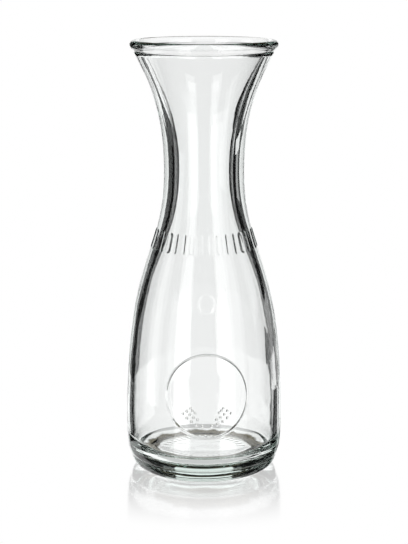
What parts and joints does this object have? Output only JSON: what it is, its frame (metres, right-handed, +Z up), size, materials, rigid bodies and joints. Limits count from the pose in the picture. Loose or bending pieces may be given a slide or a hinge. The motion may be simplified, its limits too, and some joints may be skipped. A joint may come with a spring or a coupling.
{
  "type": "glass carafe",
  "caption": "Open pouring carafe of clear moulded glass: round body, slim waist, wide flared mouth with a rolled lip, raised collar and medallion, flat standing ring.",
  "frame": {"origin": "centre of the flat ring that the carafe stands on, on the axis of the body", "axes": "+Z up along the axis of the body to the mouth; -Y is the front, where the round medallion is; +X is to the right when the front is seen"},
  "size_m": [0.0686, 0.0691, 0.187],
  "materials": {
    "clear_glass": "clear soda-lime glass, fire-polished, green where it is thick, faintly wavy from the mould"
  },
  "bodies": {
    "root": {"glass_carafe": "clear_glass"}
  },
  "joints": []
}
